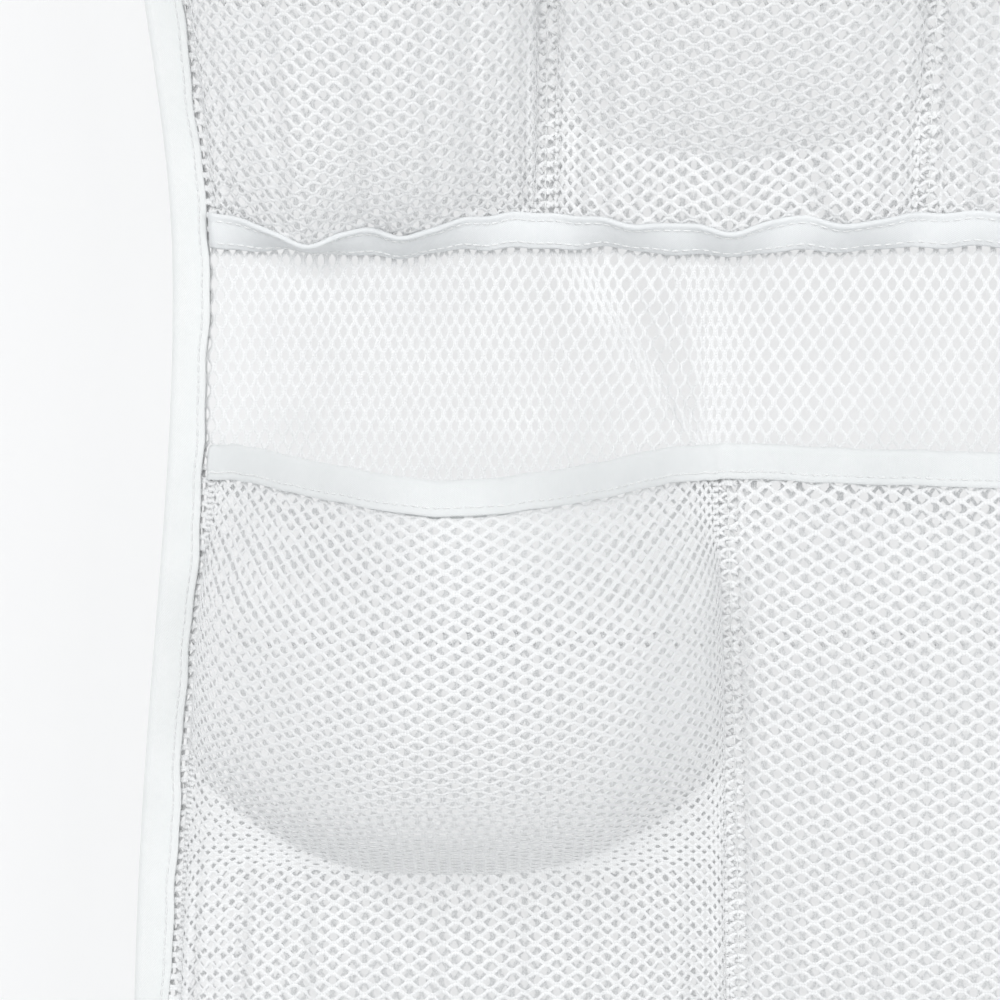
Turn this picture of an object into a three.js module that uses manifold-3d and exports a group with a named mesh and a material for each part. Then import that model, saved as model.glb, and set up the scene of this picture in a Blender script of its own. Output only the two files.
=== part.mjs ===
// Hanging mesh shower caddy: a white net panel with three rows of net pockets, bound with folded
// fabric tape, hung from four hinged snap rings through metal eyelets in its header band.
// Millimetres, +Z up, the open fronts of the pockets face -Y. The origin is on the axis of the rod
// that the rings hang on, half way across the panel and in the middle of the net's thickness.
import * as THREE from "three";
import { mergeVertices } from "three/addons/utils/BufferGeometryUtils.js";
import Module from "manifold-3d";

const wasm = await Module();
wasm.setup();

// Driving dimensions of the panel
const PANEL_W = 356; // sewn width, outside the bindings
const HEADER_H = 32; // folded band along the top
const HEADER_T = 2.4;
const BARE_NET_H = 57; // open net above each row's mouth
const BINDING_W = 11; // side and bottom binding, front leg
const TAPE_W = 9; // mouth tape, front leg
const BASE_TAPE_W = 10; // flat tape over the foot of a row
const TAPE_WALL = 0.8; // one thickness of tape
const NET_T = 1.0; // thickness of the net fabric
const CLEAR = 0.3; // gap between pieces that are sewn together
const TAPE_END_GAP = 0.8; // gap between a tape's end and the side binding
const NET_IN_BINDING = 6; // how far the net and the strips reach under a binding
const NET_IN_HEADER = 9; // how far the net reaches up into the header's fold

// The rows, from the mouth to the base seam, and how far each pocket stands off the panel
const ROW_H = 176;
const LAST_ROW_H = 167;
const UPPER_LEFT_DEPTH = 46;
const UPPER_MIDDLE_DEPTH = 40;
const UPPER_RIGHT_DEPTH = 26;
const MIDDLE_LEFT_DEPTH = 72;
const MIDDLE_RIGHT_DEPTH = 20;
const LOWER_DEPTH = 36;

// The rows from the top, their pockets from left to right, and the share of its height each is filled to
const ROWS = [
  {
    name: "upper",
    height: ROW_H,
    pockets: [
      { depth: UPPER_LEFT_DEPTH, fill: 1 },
      { depth: UPPER_MIDDLE_DEPTH, fill: 0.9 },
      { depth: UPPER_RIGHT_DEPTH, fill: 1 },
    ],
  },
  {
    name: "middle",
    height: ROW_H,
    pockets: [
      { depth: MIDDLE_LEFT_DEPTH, fill: 0.68 },
      { depth: MIDDLE_RIGHT_DEPTH, fill: 1 },
    ],
  },
  { name: "lower", height: LAST_ROW_H, pockets: [{ depth: LOWER_DEPTH, fill: 0.9 }] },
];
const STITCH_LAND = 3; // half the flat strip stitched down at a divider
const MOUTH_DROOP = 0.09; // drop of the mouth's front, for each unit of depth
const BASE_SAG = 0.05; // drop of the base seam under a pocket, for each unit of depth
const BULGE_ROUNDNESS = 5; // exponent of a pocket's side profile
const BULGE_FOOT = 1; // exponent that closes the profile on the base seam
const SOFT_FOOT = 0.5; // added to it, for each unit of the height that isn't filled
const SLACK_SHARE = 0.15; // part of the bulge that the net keeps all the way down
const BULGE_GAIN = 1.06;
const FILL_ROUNDING = 0.5; // rise of the fill's end at a pocket's sides, for each unit that isn't filled
const FILL_CURVE = 1.5; // exponent of that rounding
const MOUTH_TAKE_IN = 0.21; // how much the mouth closes against the belly
const MOUTH_FULLNESS = 1.5; // exponent of a pocket's outline from above at the mouth's tape
const BELLY_FULLNESS = 0.55; // and at the belly
const BELLY_FROM = 0.25; // share of the height below which the outline is the belly's
const END_CROWDING = 0.06; // how much a pocket's facets crowd towards its ends
const MOUTH_LIFT_END = 0.22; // share of the height over which the lifted mouth comes back to the panel

// The waist that the fullest pocket draws into the panel's left side
const WAIST_T = 282; // below the top edge
const WAIST_PULL = 19;
const WAIST_ABOVE = 75;
const WAIST_BELOW = 150;

// The net's diamonds, coarser than the fabric's, counted in half pitches
const NET_HALF_COLUMNS = 16;
const NET_HALF_ROWS = 22;
const NET_GAP_SHARE = 0.72; // gap's width for each unit of the diamond's width

// Eyelets and rings
const EYELET_COUNT = 4;
const EYELET_INSET = 25; // from the panel's side to its first eyelet
const EYELET_HOLE_R = 5.5;
const EYELET_FLANGE_R = 10.6;
const EYELET_METAL = 0.55;
const EYELET_T = 14.5; // middle of an eyelet, below the top edge
const LIP_W = 1.1; // rolled lip behind the panel
const ROD_R = 12.7; // the curtain rod that the rings are made for
const RING_IN_R = 25;
const WIRE_R = 2.2;
const RING_PLAY = 0.35; // gap between the wire and the eyelet
const KNUCKLE_R = 3.4;
const PIN_R = 1.0;
const PIN_HEAD_R = 1.9;
const PIN_HEAD_T = 0.7;
const TONGUE_T = 1.2; // flattened eye and catch of the upper half
const SNAP_DEPTH = 5; // how far the catch enters the lower half
const RING_SEAM = 0.3; // gap where the halves meet

// Facets
const POCKET_STEPS = 11; // across one pocket
const POCKET_LEVELS = [0.14, 0.36, 0.48, 0.56, 0.62, 0.68, 0.78, 0.88, 0.95]; // shares of a row's height
const BINDING_STEPS = 40;
const EYELET_SIDES = 16;
const WIRE_SIDES = 10;
const WIRE_STEPS = 13; // along half a ring

// Sizes that follow
const HALF_W = PANEL_W / 2;
const INNER_W = PANEL_W - 2 * BINDING_W;
const NET_HALF = NET_T / 2;
const TAPE_HALF = NET_HALF + CLEAR + TAPE_WALL; // half a mouth tape, from the middle of its strip
const STRIP_Y = -(NET_T + CLEAR + 0.1); // middle of a strip where it lies on the panel
const MOUTH_LIFT = TAPE_HALF + CLEAR + NET_HALF + STRIP_Y; // extra room for the tape's back leg
const EDGE_OFFSET = TAPE_HALF + 2 * CLEAR; // a pocket's wall starts this far inside the binding
const BINDING_BACK = NET_HALF + CLEAR;
const BINDING_FRONT = STRIP_Y - NET_HALF - CLEAR;
const EYELET_PITCH = (PANEL_W - 2 * EYELET_INSET) / (EYELET_COUNT - 1);
const THROAT_R = HEADER_T / 2 + CLEAR + EYELET_METAL; // rounded throat of an eyelet
const RING_R = RING_IN_R + WIRE_R;
const RING_Z = ROD_R - RING_IN_R;
const PIVOT_DROP = THROAT_R + WIRE_R + RING_PLAY; // from the eyelet's rolled edge down to the wire's middle
const PIVOT_Z = RING_Z - RING_R + PIVOT_DROP;
const TOP_Z = PIVOT_Z - EYELET_HOLE_R - THROAT_R + EYELET_T;

let below = HEADER_H;
for (const row of ROWS) {
  row.mouth = below + BARE_NET_H;
  row.base = row.mouth + row.height;
  row.last = row === ROWS[ROWS.length - 1];
  below = row.base + BASE_TAPE_W;
}
const PANEL_H = ROWS[ROWS.length - 1].base + CLEAR + TAPE_HALF + BINDING_W;

// Materials
const netWhite = new THREE.MeshStandardMaterial({ color: 0xf2f3f4, roughness: 0.75, metalness: 0 });
const tapeWhite = new THREE.MeshStandardMaterial({ color: 0xf6f7f6, roughness: 0.6, metalness: 0 });
const nickel = new THREE.MeshStandardMaterial({ color: 0xc9cacc, roughness: 0.25, metalness: 1 });

// A closed geometry as a solid, and a solid as a geometry
function solidOf(geometry) {
  const bare = geometry.clone();
  bare.deleteAttribute("normal");
  bare.deleteAttribute("uv");
  const merged = mergeVertices(bare, 1e-4);
  const triVerts = new Uint32Array(merged.index.array);
  const vertProperties = new Float32Array(merged.attributes.position.array);
  return new wasm.Manifold(new wasm.Mesh({ numProp: 3, vertProperties, triVerts }));
}

function geometryOf(solid) {
  const { vertProperties, triVerts } = solid.getMesh();
  const geometry = new THREE.BufferGeometry();
  geometry.setAttribute("position", new THREE.BufferAttribute(new Float32Array(vertProperties), 3));
  geometry.setIndex(new THREE.BufferAttribute(new Uint32Array(triVerts), 1));
  geometry.computeVertexNormals();
  return geometry;
}

function indexedGeometry(points, triangles) {
  const geometry = new THREE.BufferGeometry();
  const places = points.flatMap((p) => [p.x, p.y, p.z]);
  geometry.setAttribute("position", new THREE.Float32BufferAttribute(places, 3));
  geometry.setIndex(triangles.flat());
  geometry.computeVertexNormals();
  return geometry;
}

function part(name, geometry, material) {
  const mesh = new THREE.Mesh(geometry, material);
  mesh.name = name;
  return mesh;
}

// A closed solid through a list of rings of equal point counts. The section gives the end caps.
function loft(rings, section) {
  const size = section.length;
  const triangles = [];
  for (let i = 0; i + 1 < rings.length; i++) {
    for (let k = 0; k < size; k++) {
      const a = i * size + k;
      const b = i * size + ((k + 1) % size);
      triangles.push([a, b, b + size], [a, b + size, a + size]);
    }
  }
  const end = (rings.length - 1) * size;
  for (const [a, b, c] of THREE.ShapeUtils.triangulateShape(section, [])) {
    triangles.push([a, c, b], [end + a, end + b, end + c]);
  }
  return indexedGeometry(rings.flat(), triangles);
}

// How far the fullest pocket draws the panel sideways, at x across and t below the top edge
function drawIn(x, t) {
  const reach = t < WAIST_T ? WAIST_ABOVE : WAIST_BELOW;
  const level = Math.exp(-(((t - WAIST_T) / reach) ** 2));
  const across = (x + HALF_W) / PANEL_W;
  return WAIST_PULL * level * Math.cos(1.5 * Math.PI * across) * (1 - across);
}

// A point of the hanging panel: x across, y through it, t below the top edge
function hang(x, y, t) {
  return new THREE.Vector3(x + drawIn(x, t), y, -t);
}

// A U-shaped fold as an outline: legs of that length round a cavity, seen along the fold
function foldSection(cavity, wall, leg, seat) {
  const outer = cavity + 2 * wall;
  return [
    [0, 0],
    [outer, 0],
    [outer, leg],
    [outer - wall, leg],
    [outer - wall, seat],
    [wall, seat],
    [wall, leg],
    [0, leg],
  ].map(([a, b]) => new THREE.Vector2(a, b));
}

// The net: a lattice of diamonds with a gap in each, and solid half diamonds along its edges
function netPanel() {
  const halfW = HALF_W - BINDING_W + NET_IN_BINDING;
  const top = HEADER_H - NET_IN_HEADER;
  const bottom = PANEL_H - BINDING_W + NET_IN_BINDING;
  const stepX = (2 * halfW) / NET_HALF_COLUMNS;
  const stepT = (bottom - top) / NET_HALF_ROWS;
  const points = [];
  const triangles = [];
  const known = new Map();
  const at = (i, j, side) => {
    const key = `${i} ${j} ${side}`;
    if (!known.has(key)) {
      known.set(key, points.length);
      points.push(hang(-halfW + i * stepX, side * NET_HALF, top + j * stepT));
    }
    return known.get(key);
  };
  const quad = (a, b, c, d) => triangles.push([a, b, c], [a, c, d]);
  for (let j = 0; j <= NET_HALF_ROWS; j++) {
    for (let i = 0; i <= NET_HALF_COLUMNS; i++) {
      if ((i + j) % 2 === 0) continue;
      const corners = [
        [i - 1, j],
        [i, j + 1],
        [i + 1, j],
        [i, j - 1],
      ];
      const inside = ([a, b]) => a >= 0 && b >= 0 && a <= NET_HALF_COLUMNS && b <= NET_HALF_ROWS;
      const kept = corners.filter(inside);
      if (kept.length === 4) {
        const gap = corners.map(([a, b]) => [i + (a - i) * NET_GAP_SHARE, j + (b - j) * NET_GAP_SHARE]);
        for (let k = 0; k < 4; k++) {
          const n = (k + 1) % 4;
          quad(at(...corners[k], -1), at(...corners[n], -1), at(...gap[n], -1), at(...gap[k], -1));
          quad(at(...gap[k], 1), at(...gap[n], 1), at(...corners[n], 1), at(...corners[k], 1));
          quad(at(...gap[k], -1), at(...gap[n], -1), at(...gap[n], 1), at(...gap[k], 1));
        }
      } else {
        const missing = corners.findIndex((c) => !inside(c));
        const [a, b, c] = [1, 2, 3].map((k) => corners[(missing + k) % 4]);
        triangles.push([at(...a, -1), at(...b, -1), at(...c, -1)]);
        triangles.push([at(...c, 1), at(...b, 1), at(...a, 1)]);
        quad(at(...a, -1), at(...c, -1), at(...c, 1), at(...a, 1));
      }
    }
  }
  return indexedGeometry(points, triangles);
}

// A filled pocket's profile: how far it stands out, from 0 at the mouth to 1 where the fill ends
function belly(share, foot) {
  const down = Math.min(Math.max(share, 0), 1);
  const profile = (1 - down ** BULGE_ROUNDNESS) ** foot;
  return BULGE_GAIN * profile * (1 - MOUTH_TAKE_IN * (1 - down) ** 3);
}

// How far a pocket stands out at v, 0 at the mouth and 1 at the base, with slack net below its fill
function bulge(v, fill) {
  const filled = belly(v / fill, BULGE_FOOT + SOFT_FOOT * (1 - fill));
  return (1 - SLACK_SHARE) * filled + SLACK_SHARE * belly(v, BULGE_FOOT);
}

// The columns of a row's strip: flat ends under the bindings, pockets, and flat stitched lands between
function stripColumns(row) {
  const count = row.pockets.length;
  const inner = INNER_W / 2;
  const flat = { turn: 0, depth: 0, fill: 1, lift: 0 };
  const columns = [
    { x: -inner - NET_IN_BINDING, ...flat },
    { x: -inner + CLEAR, ...flat },
  ];
  row.pockets.forEach(({ depth, fill }, k) => {
    const from = -inner + (k * INNER_W) / count + (k === 0 ? EDGE_OFFSET : STITCH_LAND);
    const to = -inner + ((k + 1) * INNER_W) / count - (k === count - 1 ? EDGE_OFFSET : STITCH_LAND);
    const steps = Math.round(POCKET_STEPS * Math.sqrt(2 / count));
    for (let s = 0; s <= steps; s++) {
      const along = s / steps - END_CROWDING * Math.sin((2 * Math.PI * s) / steps);
      columns.push({ x: from + (to - from) * along, turn: Math.PI * along, depth, fill, lift: 1 });
    }
  });
  columns.push({ x: inner - CLEAR, ...flat });
  columns.push({ x: inner + NET_IN_BINDING, ...flat });
  return columns;
}

// The middle of a strip's thickness, in one column, at v down the row
function stripPoint(row, column, v) {
  const sine = Math.max(Math.sin(column.turn), 0);
  const fill = column.fill - FILL_ROUNDING * (1 - column.fill) * (1 - sine) ** FILL_CURVE;
  const tape = TAPE_W / row.height;
  const belled = THREE.MathUtils.smoothstep(v, tape, BELLY_FROM);
  const full = THREE.MathUtils.lerp(MOUTH_FULLNESS, BELLY_FULLNESS, belled);
  const across = sine ** full;
  const lifted = THREE.MathUtils.smoothstep(MOUTH_LIFT_END - v, 0, MOUTH_LIFT_END - tape);
  const y = STRIP_Y - column.lift * lifted * MOUTH_LIFT - column.depth * bulge(v, fill) * across;
  const droop = MOUTH_DROOP * column.depth * across * (1 - Math.min(v, 1)) ** 2;
  const sag = row.last ? 0 : baseSag(column) * THREE.MathUtils.smoothstep(v, 0.5, 1);
  return hang(column.x, y, row.mouth + v * row.height + droop + sag);
}

function baseSag(column) {
  return BASE_SAG * column.depth * Math.sin(column.turn) ** 2;
}

// The directions out of the strip, one for each column, at v
function stripNormals(row, columns, v) {
  const middle = columns.map((column) => stripPoint(row, column, v));
  return columns.map((column, k) => {
    const before = middle[Math.max(k - 1, 0)];
    const after = middle[Math.min(k + 1, columns.length - 1)];
    const along = after.clone().sub(before);
    return new THREE.Vector3(along.y, -along.x, 0).normalize();
  });
}

// One row's net strip: a thin closed sheet, open at the mouth, flat below the base seam
function pocketStrip(row) {
  const columns = stripColumns(row);
  const tail = (row.last ? NET_IN_BINDING + TAPE_HALF : BASE_TAPE_W - 1) / row.height;
  const levels = [0, TAPE_W / row.height, MOUTH_LIFT_END, ...POCKET_LEVELS, 1, 1 + tail];
  levels.sort((a, b) => a - b);
  const points = [];
  for (const v of levels) {
    const normals = stripNormals(row, columns, v);
    columns.forEach((column, k) => {
      const middle = stripPoint(row, column, v);
      points.push(middle.clone().addScaledVector(normals[k], NET_HALF));
      points.push(middle.clone().addScaledVector(normals[k], -NET_HALF));
    });
  }
  const wide = columns.length;
  const front = (k, r) => 2 * (r * wide + k);
  const back = (k, r) => front(k, r) + 1;
  const triangles = [];
  const quad = (a, b, c, d) => triangles.push([a, b, c], [a, c, d]);
  const lastRow = levels.length - 1;
  for (let r = 0; r < lastRow; r++) {
    for (let k = 0; k + 1 < wide; k++) {
      quad(front(k, r), front(k, r + 1), front(k + 1, r + 1), front(k + 1, r));
      quad(back(k, r), back(k + 1, r), back(k + 1, r + 1), back(k, r + 1));
    }
    quad(front(0, r), back(0, r), back(0, r + 1), front(0, r + 1));
    quad(front(wide - 1, r), front(wide - 1, r + 1), back(wide - 1, r + 1), back(wide - 1, r));
  }
  for (let k = 0; k + 1 < wide; k++) {
    quad(front(k, 0), front(k + 1, 0), back(k + 1, 0), back(k, 0));
    quad(front(k, lastRow), back(k, lastRow), back(k + 1, lastRow), front(k + 1, lastRow));
  }
  return indexedGeometry(points, triangles);
}

// The tape folded over a row's mouth, following the strip from binding to binding
function mouthTape(row) {
  const strip = stripColumns(row);
  const columns = strip.slice(2, -2);
  const top = -(CLEAR + TAPE_WALL) / row.height;
  const seat = -CLEAR / row.height;
  const foot = TAPE_W / row.height;
  const outline = [
    [TAPE_HALF, top],
    [-TAPE_HALF, top],
    [-TAPE_HALF, foot],
    [TAPE_WALL - TAPE_HALF, foot],
    [TAPE_WALL - TAPE_HALF, seat],
    [TAPE_HALF - TAPE_WALL, seat],
    [TAPE_HALF - TAPE_WALL, foot],
    [TAPE_HALF, foot],
  ];
  const outAt = (v) => stripNormals(row, strip, Math.max(v, 0)).slice(2, -2);
  const normals = new Map([top, seat, foot].map((v) => [v, outAt(v)]));
  const rings = columns.map((column, k) =>
    outline.map(([off, v]) => stripPoint(row, column, v).addScaledVector(normals.get(v)[k], off)),
  );
  const section = outline.map(([off, v]) => new THREE.Vector2(off, -v * row.height));
  return loft(rings.reverse(), section);
}

// The flat tape over a row's base seam
function baseTape(row) {
  const back = STRIP_Y - NET_HALF - CLEAR;
  const end = INNER_W / 2 - TAPE_END_GAP;
  const ends = [-end, end].map((x) => ({ x, turn: 0, depth: 0 }));
  const columns = [ends[0], ...stripColumns(row).slice(2, -2), ends[1]];
  const section = [
    [back, 0],
    [back - TAPE_WALL, 0],
    [back - TAPE_WALL, BASE_TAPE_W],
    [back, BASE_TAPE_W],
  ];
  const rings = columns.map((column) =>
    section.map(([y, t]) => hang(column.x, y, row.base + CLEAR + t + baseSag(column))),
  );
  return loft(rings, section.map(([y, t]) => new THREE.Vector2(y, -t)));
}

// The binding folded round one side of the panel: side is -1 on the left and 1 on the right
function sideBinding(side) {
  const cavity = BINDING_BACK - BINDING_FRONT;
  const section = foldSection(cavity, TAPE_WALL, BINDING_W, TAPE_WALL);
  const from = HEADER_H + CLEAR;
  const rings = [];
  for (let s = 0; s <= BINDING_STEPS; s++) {
    const t = from + ((PANEL_H - from) * s) / BINDING_STEPS;
    const ring = section.map((p) => hang(side * (HALF_W - p.y), BINDING_BACK + TAPE_WALL - p.x, t));
    rings.push(ring);
  }
  return loft(side < 0 ? rings.reverse() : rings, section);
}

// The binding folded up round the bottom edge, between the side bindings
function bottomBinding() {
  const cavity = BINDING_BACK - BINDING_FRONT;
  const section = foldSection(cavity, TAPE_WALL, BINDING_W, TAPE_WALL);
  const half = INNER_W / 2 - TAPE_END_GAP;
  const rings = [half, -half].map((x) =>
    section.map((p) => new THREE.Vector3(x, BINDING_BACK + TAPE_WALL - p.x, -(PANEL_H - p.y))),
  );
  return loft(rings, section);
}

function eyeletX(n) {
  return (n - (EYELET_COUNT - 1) / 2) * EYELET_PITCH;
}

// The header: a folded band with a slot for the net's top edge and a hole for each eyelet
function headerBand() {
  const outline = new THREE.Shape([
    new THREE.Vector2(-HALF_W, -HEADER_H),
    new THREE.Vector2(HALF_W, -HEADER_H),
    new THREE.Vector2(HALF_W, 0),
    new THREE.Vector2(-HALF_W, 0),
  ]);
  for (let n = 0; n < EYELET_COUNT; n++) {
    const hole = new THREE.Path();
    hole.absarc(eyeletX(n), -EYELET_T, EYELET_HOLE_R + THROAT_R - CLEAR, 0, 2 * Math.PI, true);
    outline.holes.push(hole);
  }
  const settings = { depth: HEADER_T, bevelEnabled: false, curveSegments: 10 };
  const slab = new THREE.ExtrudeGeometry(outline, settings);
  slab.rotateX(Math.PI / 2).translate(0, HEADER_T / 2, 0);
  const slotH = NET_IN_HEADER + CLEAR;
  const slot = new THREE.BoxGeometry(2 * PANEL_W, NET_T + 2 * CLEAR, 2 * slotH);
  slot.translate(0, 0, -HEADER_H);
  return geometryOf(solidOf(slab).subtract(solidOf(slot)));
}

// Points on a half circle in the plane of a revolved profile, from the front to the back
function throatArc(radius, steps) {
  const points = [];
  for (let s = 0; s <= steps; s++) {
    const turn = (Math.PI * s) / steps;
    const centre = EYELET_HOLE_R + THROAT_R;
    points.push(new THREE.Vector2(centre - radius * Math.sin(turn), -radius * Math.cos(turn)));
  }
  return points;
}

// An eyelet: the front flange, the rounded throat and the lip rolled over at the back
function eyelet() {
  const inner = THROAT_R - EYELET_METAL;
  const lipR = EYELET_HOLE_R + THROAT_R + LIP_W;
  const profile = [
    new THREE.Vector2(EYELET_FLANGE_R, -inner),
    new THREE.Vector2(EYELET_FLANGE_R - EYELET_METAL / 2, -THROAT_R),
    ...throatArc(THROAT_R, 5),
    new THREE.Vector2(lipR, THROAT_R),
    new THREE.Vector2(lipR, inner),
    ...throatArc(inner, 3).reverse(),
  ];
  profile.push(profile[0].clone());
  return new THREE.LatheGeometry(profile.reverse(), EYELET_SIDES);
}

// The washer behind the header, inside which the eyelet's lip is rolled
function washer() {
  const inner = THROAT_R - EYELET_METAL;
  const boreR = EYELET_HOLE_R + THROAT_R + LIP_W + CLEAR;
  const profile = [
    [boreR, inner],
    [boreR, THROAT_R],
    [EYELET_FLANGE_R - EYELET_METAL / 2, THROAT_R],
    [EYELET_FLANGE_R, inner],
    [boreR, inner],
  ].map(([r, y]) => new THREE.Vector2(r, y));
  return new THREE.LatheGeometry(profile.reverse(), EYELET_SIDES);
}

// An arc of a ring's wire, from one angle to another round the ring's middle. 0 is the hinge, behind.
class RingArc extends THREE.Curve {
  constructor(from, to) {
    super();
    this.from = from;
    this.to = to;
  }
  getPoint(s, target = new THREE.Vector3()) {
    const turn = THREE.MathUtils.lerp(this.from, this.to, s);
    return target.set(0, RING_R * Math.cos(turn), RING_R * Math.sin(turn));
  }
}

function wire(from, to, steps) {
  const section = new THREE.Shape();
  section.absarc(0, 0, WIRE_R, 0, 2 * Math.PI, false);
  const extrudePath = new RingArc(from, to);
  return new THREE.ExtrudeGeometry(section, { steps, extrudePath, curveSegments: WIRE_SIDES / 2 });
}

// A round bar across the ring, at the hinge
function crossBar(radius, width) {
  const bar = new THREE.CylinderGeometry(radius, radius, width, 14);
  return bar.rotateZ(Math.PI / 2).translate(0, RING_R, 0);
}

// A slab across the ring's middle plane, round its hinge (y over 0) or its catch
function slab(width, y, z, high) {
  return new THREE.BoxGeometry(width, 4 * WIRE_R, high).translate(0, y, z);
}

const SEAM_TURN = RING_SEAM / 2 / RING_R;
const FORK_GAP = TONGUE_T + 2 * CLEAR;
const FORK_W = 2 * WIRE_R + 0.6;

// The lower half ring: it hangs in the eyelet, with a forked knuckle behind and a forked catch in front
function ringLower() {
  const half = solidOf(wire(-SEAM_TURN, SEAM_TURN - Math.PI, WIRE_STEPS));
  const ears = solidOf(crossBar(KNUCKLE_R, FORK_W));
  const gap = solidOf(crossBar(KNUCKLE_R + CLEAR, FORK_GAP));
  const catchSlot = solidOf(slab(FORK_GAP, -RING_R, 0, 2 * (SNAP_DEPTH + CLEAR)));
  const bore = solidOf(crossBar(PIN_R + CLEAR, 2 * FORK_W));
  return geometryOf(half.add(ears).subtract(gap).subtract(catchSlot).subtract(bore));
}

// The upper half ring: the gate that opens over the rod, with an eye behind and a flat catch in front
function ringGate() {
  const catchTurn = SNAP_DEPTH / RING_R;
  const half = solidOf(wire(SEAM_TURN, Math.PI - SEAM_TURN, WIRE_STEPS));
  const room = solidOf(crossBar(KNUCKLE_R + CLEAR, 2 * FORK_W));
  const web = half.intersect(solidOf(slab(TONGUE_T, RING_R, 0, 4 * KNUCKLE_R)));
  const eye = solidOf(crossBar(KNUCKLE_R, TONGUE_T));
  const catchArc = solidOf(wire(Math.PI - 2 * catchTurn, Math.PI + catchTurn, 4));
  const tongue = catchArc.intersect(solidOf(slab(TONGUE_T, -RING_R, 0, 8 * SNAP_DEPTH)));
  const bore = solidOf(crossBar(PIN_R + CLEAR, 2 * FORK_W));
  return geometryOf(half.subtract(room).add(web).add(eye).add(tongue).subtract(bore));
}

// The hinge pin, with a head riveted over each ear
function ringPin() {
  const headFrom = FORK_W / 2 + CLEAR / 2;
  const headTo = headFrom + PIN_HEAD_T;
  const profile = [
    [0, -headTo],
    [PIN_HEAD_R, -headTo],
    [PIN_HEAD_R, -headFrom],
    [PIN_R, -headFrom],
    [PIN_R, headFrom],
    [PIN_HEAD_R, headFrom],
    [PIN_HEAD_R, headTo],
    [0, headTo],
  ].map(([r, x]) => new THREE.Vector2(r, x));
  return new THREE.LatheGeometry(profile, 10).rotateZ(Math.PI / 2).translate(0, RING_R, 0);
}

// The assembly
const caddy = new THREE.Group();

const panel = new THREE.Group();
panel.position.z = TOP_Z;
panel.add(part("back_net", netPanel(), netWhite));
panel.add(part("header_band", headerBand(), tapeWhite));
panel.add(part("left_binding", sideBinding(-1), tapeWhite));
panel.add(part("right_binding", sideBinding(1), tapeWhite));
panel.add(part("bottom_binding", bottomBinding(), tapeWhite));
for (const row of ROWS) {
  panel.add(part(`${row.name}_pocket_net`, pocketStrip(row), netWhite));
  panel.add(part(`${row.name}_mouth_tape`, mouthTape(row), tapeWhite));
  if (!row.last) panel.add(part(`${row.name}_base_tape`, baseTape(row), tapeWhite));
}
caddy.add(panel);

for (let n = 0; n < EYELET_COUNT; n++) {
  const fixing = new THREE.Group();
  fixing.position.set(eyeletX(n), 0, TOP_Z - EYELET_T);
  fixing.add(part(`eyelet_${n + 1}`, eyelet(), nickel));
  fixing.add(part(`washer_${n + 1}`, washer(), nickel));
  caddy.add(fixing);

  const ring = new THREE.Group();
  ring.position.set(eyeletX(n), 0, RING_Z);
  ring.add(part(`ring_${n + 1}_lower`, ringLower(), nickel));
  ring.add(part(`ring_${n + 1}_gate`, ringGate(), nickel));
  ring.add(part(`ring_${n + 1}_pin`, ringPin(), nickel));
  caddy.add(ring);
}

export default caddy;
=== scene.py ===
"""Looks of the hanging mesh shower caddy: knitted nets, folded tapes, stitching and metal fittings.

Sizes are in millimetres as the solids have them, and become metres where points are placed.
The framing and the stage are in metres.
s runs along a tape or a thread, d across it, and t is the distance below the panel's top edge.
"""
import math

import bpy
import numpy as np
from mathutils import Matrix, Vector


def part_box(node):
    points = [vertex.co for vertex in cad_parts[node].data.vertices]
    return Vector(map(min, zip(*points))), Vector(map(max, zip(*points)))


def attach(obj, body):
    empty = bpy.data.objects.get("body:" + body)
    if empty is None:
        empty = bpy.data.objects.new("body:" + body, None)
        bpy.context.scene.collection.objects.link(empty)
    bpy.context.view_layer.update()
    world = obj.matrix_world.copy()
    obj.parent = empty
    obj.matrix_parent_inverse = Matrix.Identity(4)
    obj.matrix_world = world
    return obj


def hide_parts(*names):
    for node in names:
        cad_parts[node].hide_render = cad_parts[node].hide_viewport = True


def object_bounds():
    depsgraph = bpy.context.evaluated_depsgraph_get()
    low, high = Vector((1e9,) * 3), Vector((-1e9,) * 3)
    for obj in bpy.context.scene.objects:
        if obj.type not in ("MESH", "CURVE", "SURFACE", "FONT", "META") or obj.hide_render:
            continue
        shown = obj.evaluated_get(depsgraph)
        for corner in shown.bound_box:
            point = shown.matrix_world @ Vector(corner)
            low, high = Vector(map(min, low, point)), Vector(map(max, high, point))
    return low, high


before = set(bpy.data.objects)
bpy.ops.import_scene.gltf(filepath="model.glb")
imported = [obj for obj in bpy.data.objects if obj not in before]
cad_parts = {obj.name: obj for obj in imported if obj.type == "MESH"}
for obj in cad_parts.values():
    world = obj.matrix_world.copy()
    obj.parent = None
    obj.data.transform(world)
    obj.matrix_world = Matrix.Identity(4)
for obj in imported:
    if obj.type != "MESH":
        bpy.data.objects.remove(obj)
cad_low, cad_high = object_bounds()

MM = 0.001

# Sizes of the solids
PANEL_W = 356
HALF_W = PANEL_W / 2
HEADER_H = 32
HEADER_T = 2.4
BARE_NET_H = 57
BINDING_W = 11
TAPE_W = 9
BASE_TAPE_W = 10
TAPE_WALL = 0.8
NET_HALF = 0.5
CLEAR = 0.3
TAPE_END_GAP = 0.8
NET_IN_BINDING = 6
NET_IN_HEADER = 9
STITCH_LAND = 3
STRIP_GAP = 0.1  # room between the back net and the pocket nets, on top of the clearance
MOUTH_DROOP = 0.09
BASE_SAG = 0.05
BASE_SAG_FROM = 0.5  # share of a row's height where the base begins to sag

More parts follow.
